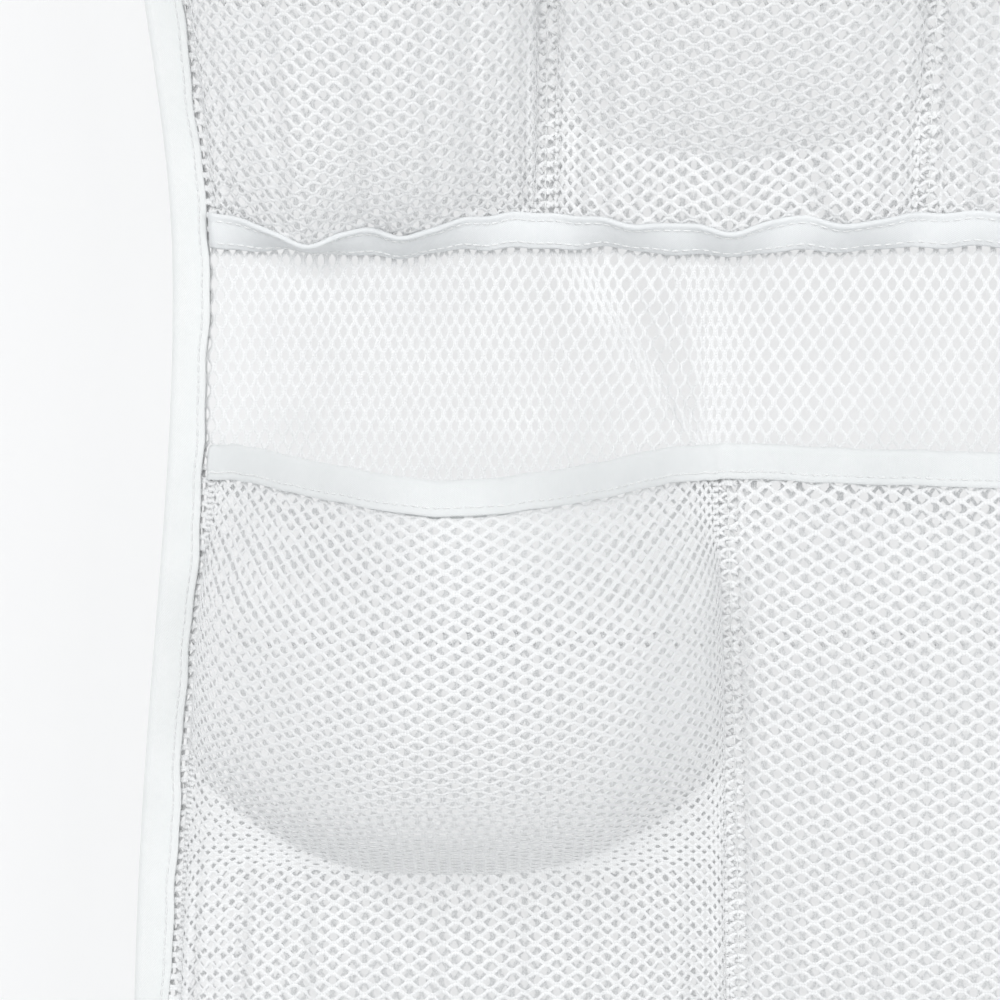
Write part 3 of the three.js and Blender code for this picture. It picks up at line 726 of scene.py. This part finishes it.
def nickel_material():
    """Bright nickel plate: faint polishing marks and uneven gloss."""
    n = Nodes("nickel_plate")
    cloud = n.noise(70.0)
    grain = n.noise(900.0, 4.0, 0.7)
    n.link(n.ramp(cloud, (0.3, (0.66, 0.65, 0.63)), (0.7, (0.78, 0.77, 0.75))), "Base Color")
    n.link(n.maths("MULTIPLY_ADD", grain, 0.16, n.maths("MULTIPLY_ADD", cloud, 0.1, 0.1)), "Roughness")
    n.bump(grain, 0.12, 0.00004)
    n.shader.inputs["Metallic"].default_value = 1.0
    return n.material


NET_WHITE = net_material("net_white", (0.955, 0.96, 0.96), (0.89, 0.895, 0.9))
TAPE_WHITE = tape_material("tape_white", (0.935, 0.945, 0.94), (0.865, 0.885, 0.88))
BASE_WHITE = tape_material("base_tape_white", (0.92, 0.935, 0.94), (0.85, 0.87, 0.88))
# The mouth tapes take a darker copy of the white tape: painted shade for the shade that falls on them.
MOUTH_SHADED_WHITE = tape_material("mouth_tape_painted_shade", (0.885, 0.9, 0.9), (0.81, 0.83, 0.83))
THREAD = thread_material()
NICKEL = nickel_material()


def dress(piece, material, replaced=(), body="panel"):
    """Gives a piece its material, the body that carries it and the solids that it stands for."""
    piece.data.materials.clear()
    piece.data.materials.append(material)
    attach(piece, body)
    if replaced:
        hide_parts(*replaced)
    return piece


# The nets

def make_net(node, n, surface, cell, first, length, breadth):
    """One piece of a net, of whole cells along its threads."""
    cells = round(length / cell[0])
    threads = round(2 * breadth / cell[1])
    net = knit(f"{node}_knit_{n + 1}", surface, cells, threads, length, breadth, first)
    dress(net, NET_WHITE, [node])


def make_back_net():
    run = PANEL_H - HEADER_H + NET_IN_HEADER - BINDING_W + NET_IN_BINDING
    breadth = 2 * (INNER + NET_IN_BINDING)
    length = run / BACK_BANDS
    for band in range(BACK_BANDS):
        start = band * run / BACK_BANDS
        make_net("back_net", band, back_net, BACK_CELL, start, length, breadth)


def make_pocket_net(row, strip):
    """A row's net, in one piece for each pocket, which meet under the divider's stitches."""
    tail = NET_IN_BINDING + TAPE_HALF if row["last"] else BASE_TAPE_W - TAPE_LEAST
    pockets = row["pockets"]
    inner_ends = [(left[1] + right[0]) / 2 for left, right in zip(strip.spans, strip.spans[1:])]
    marks = [strip.first, *inner_ends, strip.last]
    for k, pocket in enumerate(pockets):
        cut = strip.cut_depth(pocket)
        cell = (POCKET_CELL[0], POCKET_CELL[1] - CELL_SHORTENING * pocket[0])

        def surface(s, d):
            return strip.at(s, d, cut)

        node = f"{row['name']}_pocket_net"
        length = marks[k + 1] - marks[k]
        make_net(node, k, surface, cell, marks[k], length, cut + tail)


# The tapes

def stations(start, end):
    return np.linspace(start, end, max(2, int(round((end - start) / TAPE_STEP)) + 1))


def make_mouth_tape(row, strip):
    name = row["name"]
    start = strip.place(-INNER + EDGE_OFFSET)
    end = strip.place(INNER - EDGE_OFFSET)

    def surface(s, d):
        place = strip.at(s, d)
        place[..., 2] += waver(s, *MOUTH_RIPPLE) * MM
        return place

    over = CLEAR + TAPE_WALL
    outline = fold_outline(TAPE_HALF, TAPE_WALL, TAPE_W + CLEAR + TAPE_WALL)
    rings = along_surface(surface, stations(start, end), outline, shift=-over)
    tape = sweep(f"{name}_mouth_tape_fold", rings, TAPE_STEP)
    seam_line = (start + SEAM_ENDS, end - SEAM_ENDS, TAPE_W - SEAM_IN)
    seam = stitch_row(f"{name}_mouth_stitches", surface, *seam_line, TAPE_HALF)
    finish_tape(tape, MOUTH_SHADED_WHITE, [f"{name}_mouth_tape"], end - start, 2 * TAPE_W + FOLD_TURN, seam)


def finish_tape(tape, material, replaced, length, width, *seams):
    dress(tape, material, replaced)
    for seam in seams:
        dress(seam, THREAD)


def make_base_tape(row, strip):
    """A flat tape over a row's base seam, with a rolled upper edge and a seam near each edge."""
    name = row["name"]
    half = INNER - TAPE_END_GAP
    wall = TAPE_WALL / 2
    middle = STRIP_Y - NET_HALF - CLEAR - wall

    def surface(x, d):
        ripple = waver(x, *BASE_RIPPLE)
        pucker = BASE_PROUD + waver(x, *BASE_PUCKER)
        proud = np.maximum(pucker, 0) * (1 - np.abs(2 * d / BASE_TAPE_W - 1) ** 3)
        drop, tip = base_tip(row, x)
        share = 1 - d / BASE_TAPE_W
        t = row["base"] + CLEAR + strip.sag(x) + d + ripple + drop * share
        return hang(x, middle - proud - tip * share, t)

    w = BASE_TAPE_W
    seam_ds = (SEAM_IN, w - LOWER_SEAM_IN)
    # The front's outline from the upper edge to the lower one, as (out, down) points
    rolled = [(-0.3, 0.0), (0.2, 0.15), (0.45, 0.5), (0.5, 0.9), (0.35, 1.4), (-0.14, SEAM_IN)]
    level = [(0, SEAM_IN + 1), (0, w / 2), (0, w - SEAM_IN)]
    lower = [(-0.14, w - LOWER_SEAM_IN), (0, w - 0.6), (-0.25, w)]
    front = [(wall + out, down) for out, down in rolled + level + lower]
    outline = front + [(-wall, down) for _, down in front[::-1]]
    rings = along_surface(surface, stations(-half, half), outline)
    tape = sweep(f"{name}_base_tape_band", rings, TAPE_STEP)
    seams = [
        stitch_row(f"{name}_base_stitches_{n}", surface, -half + SEAM_ENDS, half - SEAM_ENDS, d, wall)
        for n, d in enumerate(seam_ds, 1)
    ]
    finish_tape(tape, BASE_WHITE, [f"{name}_base_tape"], 2 * half, BASE_TAPE_W, *seams)


def make_side_binding(side, name):
    start, end = HEADER_H + CLEAR, PANEL_H

    def surface(s, d):
        sway = waver(s, (0.3, 37.0, 0.4 + side), (0.15, 17.0, 1.9), (0.35, 83.0, 2.4))
        sway = sway * smooth(d, 2, BINDING_W)
        return hang(side * (HALF_W - d + sway), BINDING_MID, s)

    outline = fold_outline(BINDING_HALF, TAPE_WALL, BINDING_W)
    tape = sweep(f"{name}_fold", along_surface(surface, stations(start, end), outline), TAPE_STEP)
    seam_d = BINDING_W - SEAM_IN
    seams = [
        stitch_row(f"{name}_{face}_stitches", surface, start + SEAM_ENDS, end - SEAM_ENDS, seam_d, lift)
        for face, lift in (("front", side * BINDING_HALF), ("back", -side * BINDING_HALF))
    ]
    finish_tape(tape, TAPE_WHITE, [name], end - start, 2 * BINDING_W + FOLD_TURN, *seams)


def make_bottom_binding():
    half = INNER - TAPE_END_GAP

    def surface(x, d):
        return hang(x, BINDING_MID, PANEL_H - d)

    outline = fold_outline(BINDING_HALF, TAPE_WALL, BINDING_W)
    tape = sweep("bottom_binding_fold", along_surface(surface, stations(-half, half), outline), TAPE_STEP)
    end = half - SEAM_ENDS
    seam_d = BINDING_W - SEAM_IN
    seams = [
        stitch_row(f"bottom_binding_{face}_stitches", surface, -end, end, seam_d, lift)
        for face, lift in (("front", -BINDING_HALF), ("back", BINDING_HALF))
    ]
    finish_tape(tape, TAPE_WHITE, ["bottom_binding"], 2 * half, 2 * BINDING_W + FOLD_TURN, *seams)


def make_header():
    def surface(s, d):
        return hang(s, 0.0 * d, d)

    outline = fold_outline(HEADER_T / 2, HEADER_WALL, HEADER_H)
    band = sweep("header_band_fold", along_surface(surface, stations(-HALF_W, HALF_W), outline), TAPE_STEP)
    hole_r = EYELET_HOLE_R + THROAT_R - CLEAR
    for x in EYELET_X:
        punch = turned("punch", [(hole_r, -2 * HEADER_T), (hole_r, 2 * HEADER_T)])
        turn_to_y = Matrix.Rotation(math.pi / 2, 4, "Z")
        punch.data.transform(Matrix.Translation((x * MM, 0, (TOP_Z - EYELET_T) * MM)) @ turn_to_y)
        combine(band, "DIFFERENCE", punch)
    end = HALF_W - SEAM_ENDS
    seams = [
        stitch_row(f"header_{face}_stitches_{n}", surface, -end, end, d, lift)
        for n, d in enumerate((HEADER_SEAM, HEADER_H - SEAM_IN), 1)
        for face, lift in (("front", HEADER_T / 2), ("back", -HEADER_T / 2))
    ]
    finish_tape(band, TAPE_WHITE, ["header_band"], PANEL_W, 2 * HEADER_H + HEADER_TURN, *seams)


def make_divider_stitches(row, strip):
    count = len(row["pockets"])
    for k in range(1, count):
        s = strip.place(-INNER + 2 * INNER * k / count)

        def surface(d, across):
            return strip.at(s - across, d)

        name = f"{row['name']}_divider_stitches_{k}"
        seam = stitch_row(name, surface, TAPE_W + SEAM_ENDS, row["height"], 0.0, NET_HALF)
        dress(seam, THREAD)


# The metal fittings

def throat(radius, steps):
    """A half circle round an eyelet's edge, as (radius, place) points from the front to the back."""
    turns = np.linspace(0, math.pi, steps)
    return [(EYELET_HOLE_R + THROAT_R - radius * math.sin(a), -radius * math.cos(a)) for a in turns]


def rounded_edge(radius, from_y, to_y):
    """Points that round a disc's rim, from its bearing face to its shown face."""
    turns = np.linspace(0, math.pi / 2, EDGE_STEPS)
    rise = to_y - from_y
    return [(radius - EDGE_ROUND * (1 - math.cos(a)), from_y + rise * math.sin(a)) for a in turns]


def make_eyelet():
    inner = THROAT_R - EYELET_METAL
    rim = rounded_edge(EYELET_FLANGE_R, -inner, -THROAT_R)
    lip = rounded_edge(EYELET_HOLE_R + THROAT_R + LIP_W, inner, THROAT_R)
    outer_throat = throat(THROAT_R, THROAT_STEPS)
    inner_throat = throat(inner, THROAT_INNER_STEPS)
    return hoop("eyelet", rim + outer_throat + lip[::-1] + inner_throat[::-1])


def make_washer():
    inner = THROAT_R - EYELET_METAL
    bore = EYELET_HOLE_R + THROAT_R + LIP_W + CLEAR
    rim = rounded_edge(EYELET_FLANGE_R, inner, THROAT_R)
    edge = [(bore + EDGE_ROUND, THROAT_R), (bore, THROAT_R - EDGE_ROUND), (bore, inner)]
    return hoop("washer", rim + edge)


def ring_wire(name, start, end, radius=WIRE_R):
    """A stretch of a ring's wire with rounded ends. 0 is the hinge, behind."""
    edge = math.copysign(EDGE_ROUND / RING_R, end - start)
    turn = np.concatenate([[start], np.linspace(start + edge, end - edge, RING_STEPS), [end]])[:, None]
    size = np.full(turn.shape, radius)
    size[[0, -1]] -= EDGE_ROUND
    side = np.linspace(0, 2 * math.pi, METAL_SIDES, endpoint=False)
    away = RING_R + size * np.cos(side)
    rings = np.stack([size * np.sin(side), away * np.cos(turn), RING_Z + away * np.sin(turn)], axis=-1)
    return tubes(name, rings[None] * MM, {})


def cross_bar(radius, width):
    """A round bar through a ring's hinge, along X, with its edges rounded."""
    half, inner = width / 2, radius - EDGE_ROUND
    end = half - EDGE_ROUND
    bar = turned("bar", [(inner, -half), (radius, -end), (radius, end), (inner, half)])
    bar.data.transform(Matrix.Translation((0, RING_R * MM, RING_Z * MM)))
    return bar


def cross_slab(width, y, high):
    """A slab in a ring's middle plane, round its hinge or its catch."""
    deep, high = 2 * WIRE_R, high / 2
    corners = [(y - deep, -high), (y + deep, -high), (y + deep, high), (y - deep, high)]
    rings = [[(x, across, RING_Z + up) for across, up in corners] for x in (-width / 2, width / 2)]
    return tubes("slab", np.array(rings)[None] * MM, {})


def make_ring_lower():
    seam = RING_SEAM / 2 / RING_R
    half = ring_wire("ring_lower", -seam, seam - math.pi)
    combine(half, "UNION", cross_bar(KNUCKLE_R, FORK_W))
    combine(half, "DIFFERENCE", cross_bar(KNUCKLE_R + CLEAR + EDGE_ROUND, FORK_GAP))
    combine(half, "DIFFERENCE", cross_slab(FORK_GAP, -RING_R, 2 * (SNAP_DEPTH + CLEAR)))
    combine(half, "DIFFERENCE", cross_bar(PIN_R + CLEAR, 2 * FORK_W))
    return half


def make_ring_gate():
    seam = RING_SEAM / 2 / RING_R
    reach = SNAP_DEPTH / RING_R
    slim = WIRE_R - CLEAR / 2
    half = ring_wire("ring_gate", seam, math.pi - seam)
    web = ring_wire("web", seam, math.pi / 4, slim)
    combine(web, "INTERSECT", cross_slab(TONGUE_T, RING_R, 4 * KNUCKLE_R))
    tongue = ring_wire("tongue", math.pi - 2 * reach, math.pi + reach, slim)
    combine(tongue, "INTERSECT", cross_slab(TONGUE_T, -RING_R, 8 * SNAP_DEPTH))
    combine(half, "DIFFERENCE", cross_bar(KNUCKLE_R + CLEAR, 2 * FORK_W))
    combine(half, "UNION", web)
    combine(half, "UNION", cross_bar(KNUCKLE_R, TONGUE_T))
    combine(half, "UNION", tongue)
    combine(half, "DIFFERENCE", cross_bar(PIN_R + CLEAR, 2 * FORK_W))
    return half


def make_ring_pin():
    under = FORK_W / 2 + CLEAR / 2
    top = under + PIN_HEAD_T
    head = [(PIN_HEAD_R / 2, top), (PIN_HEAD_R - EDGE_ROUND, top - PIN_CROWN)]
    head += [(PIN_HEAD_R, top - EDGE_ROUND), (PIN_HEAD_R, under), (PIN_R, under)]
    pin = turned("ring_pin", [(r, -x) for r, x in head] + head[::-1])
    pin.data.transform(Matrix.Translation((0, RING_R * MM, RING_Z * MM)))
    return pin


def make_metal():
    """One of each fitting, copied to every eyelet's place."""
    fittings = [
        ("eyelet_{}", "shell", "panel", make_eyelet(), TOP_Z - EYELET_T),
        ("washer_{}", "disc", "panel", make_washer(), TOP_Z - EYELET_T),
        ("ring_{}_lower", "wire", "ring_{}", make_ring_lower(), 0),
        ("ring_{}_gate", "wire", "gate_{}", make_ring_gate(), 0),
        ("ring_{}_pin", "rivet", "ring_{}", make_ring_pin(), 0),
    ]
    for node, kind, body, pattern, z in fittings:
        for n, x in enumerate(EYELET_X, 1):
            mesh = pattern.data.copy()
            mesh.transform(Matrix.Translation((x * MM, 0, z * MM)))
            mesh.set_sharp_from_angle(angle=CREASE_ANGLE)
            name = node.format(n)
            piece = bpy.data.objects.new(f"{name}_{kind}", mesh)
            bpy.context.collection.objects.link(piece)
            dress(piece, NICKEL, [name], body.format(n))
        bpy.data.objects.remove(pattern)


make_back_net()
for row in ROWS:
    strip = Strip(row)
    make_pocket_net(row, strip)
    make_mouth_tape(row, strip)
    make_divider_stitches(row, strip)
    if not row["last"]:
        make_base_tape(row, strip)
make_side_binding(-1, "left_binding")
make_side_binding(1, "right_binding")
make_bottom_binding()
make_header()
make_metal()


# Stage, light and camera

WALL_Y = 0.06
WALL_FOOT = 0.12  # height over which the wall fades into the floor
WALL_EVENNESS = 0.6  # share of the wall's brightness that takes no shadow
BACKDROP = (0.925, 0.935, 0.94)
FLOOR_DROP = 0.06  # how far above the floor the object hangs
FLOOR_Z = cad_low.z - FLOOR_DROP
FLOOR_FADE = (0.4, 1.0)  # how far away the floor begins and ends to fade
FLOOR_TONE = 0.86
WALL_TONE = 0.95
WALL_GLOW = (0.95, 0.955, 0.96)
STAGE_REACH = 2.0
AIM = (0, 0, -0.4)  # what the lights point at
# Name, place, size and power of each light
LIGHTS = [
    ("key", (-0.75, -2.4, 0.9), 1.8, 34),
    ("fill", (1.8, -2.0, -0.1), 1.8, 13.5),
    ("rear", (0.8, 2.2, 0.8), 1.6, 22),
]
AIR_COLOUR = (0.96, 0.98, 1.0)
AIR_LIGHT = 0.57


def stage_material(name, tone):
    """Matt paint. Returns the nodes, for what is mixed with it."""
    n = Nodes(name)
    n.link(n.ramp(n.noise(3.0), (0.3, (tone,) * 3), (0.7, (tone + 0.01,) * 3)), "Base Color")
    n.shader.inputs["Roughness"].default_value = 0.9
    n.shader.inputs["Specular IOR Level"].default_value = 0.1
    return n


def cleared(n, shown, share):
    """Lets a stage material turn clear where share is 1."""
    clear = n.add("ShaderNodeBsdfTransparent").outputs[0]
    mix = n.add("ShaderNodeMixShader", {0: share, 1: shown, 2: clear})
    n.tree.links.new(mix.outputs[0], n.tree.nodes["Material Output"].inputs["Surface"])
    return n.material


def floor_material():
    """The floor fades into the plain backdrop well away from the object."""
    n = stage_material("pale_floor", FLOOR_TONE)
    where = n.add("ShaderNodeTexCoord").outputs["Object"]
    level = n.add("ShaderNodeVectorMath", {0: where, 1: (1, 1, 0)}, operation="MULTIPLY").outputs[0]
    away = n.add("ShaderNodeVectorMath", {0: level}, operation="LENGTH").outputs["Value"]
    start, end = FLOOR_FADE
    fade = n.add("ShaderNodeMapRange", {"Value": away, "From Min": start, "From Max": end}).outputs[0]
    return cleared(n, n.shader.outputs[0], fade)


def wall_material():
    """The wall shows from the front alone and fades at its foot. Part of its brightness takes no shadow."""
    n = stage_material("pale_wall", WALL_TONE)
    glow = n.add("ShaderNodeEmission", {"Color": (*WALL_GLOW, 1), "Strength": 1.0}).outputs[0]
    share = n.maths("MULTIPLY", n.seen_directly(), WALL_EVENNESS)
    shown = n.add("ShaderNodeMixShader", {0: share, 1: n.shader.outputs[0], 2: glow}).outputs[0]
    where = n.add("ShaderNodeTexCoord").outputs["Object"]
    depth = n.maths("MULTIPLY", n.add("ShaderNodeSeparateXYZ", {0: where}).outputs["Z"], -1)
    foot = n.fade(depth, -FLOOR_Z - WALL_FOOT, -FLOOR_Z)
    behind = n.add("ShaderNodeNewGeometry").outputs["Backfacing"]
    return cleared(n, shown, n.maths("MAXIMUM", foot, behind))


def stage_plane(name, corners, material):
    mesh = bpy.data.meshes.new(name)
    mesh.from_pydata(corners, [], [(0, 1, 2, 3)])
    plane = bpy.data.objects.new(name, mesh)
    bpy.context.collection.objects.link(plane)
    mesh.materials.append(material)


def make_stage():
    far = STAGE_REACH
    floor = [(-far, -far, FLOOR_Z), (far, -far, FLOOR_Z), (far, far, FLOOR_Z), (-far, far, FLOOR_Z)]
    stage_plane("floor", floor, floor_material())
    wall = [(-far, WALL_Y, FLOOR_Z), (far, WALL_Y, FLOOR_Z), (far, WALL_Y, far), (-far, WALL_Y, far)]
    stage_plane("wall", wall, wall_material())


def area_light(name, place, target, size, power):
    data = bpy.data.lights.new(name, "AREA")
    data.shape = "SQUARE"
    data.size = size
    data.energy = power
    lamp = bpy.data.objects.new(name, data)
    bpy.context.collection.objects.link(lamp)
    lamp.location = place
    lamp.rotation_mode = "QUATERNION"
    lamp.rotation_quaternion = (Vector(target) - Vector(place)).to_track_quat("-Z", "Y")


def make_light():
    world = bpy.data.worlds.new("studio")
    bpy.context.scene.world = world
    world.use_nodes = True
    nodes, links = world.node_tree.nodes, world.node_tree.links
    light = nodes["Background"]
    light.inputs["Color"].default_value = (*AIR_COLOUR, 1)
    light.inputs["Strength"].default_value = AIR_LIGHT
    backdrop = nodes.new("ShaderNodeBackground")
    backdrop.inputs["Color"].default_value = (*BACKDROP, 1)
    path = nodes.new("ShaderNodeLightPath").outputs
    seen = path["Is Camera Ray"]
    for other in ("Is Glossy Ray", "Is Transmission Ray"):
        larger = nodes.new("ShaderNodeMath")
        larger.operation = "MAXIMUM"
        links.new(seen, larger.inputs[0])
        links.new(path[other], larger.inputs[1])
        seen = larger.outputs[0]
    mix = nodes.new("ShaderNodeMixShader")
    links.new(seen, mix.inputs[0])
    links.new(light.outputs[0], mix.inputs[1])
    links.new(backdrop.outputs[0], mix.inputs[2])
    links.new(mix.outputs[0], nodes["World Output"].inputs["Surface"])
    for name, place, size, power in LIGHTS:
        area_light(name, place, AIM, size, power)


def make_camera():
    data = bpy.data.cameras.new("camera")
    camera = bpy.data.objects.new("camera", data)
    bpy.context.collection.objects.link(camera)
    data.sensor_width = 36.0
    data.lens = data.sensor_width * CAMERA_DISTANCE / FRAME_WIDTH
    data.clip_start = 0.01
    away = Vector((0, -math.cos(CAMERA_ELEVATION), math.sin(CAMERA_ELEVATION)))
    camera.location = FRAME_MIDDLE + away * CAMERA_DISTANCE
    camera.rotation_mode = "QUATERNION"
    camera.rotation_quaternion = (-away).to_track_quat("-Z", "Y")
    bpy.context.scene.camera = camera


make_stage()
make_light()
make_camera()
bpy.context.scene.view_settings.view_transform = "Standard"
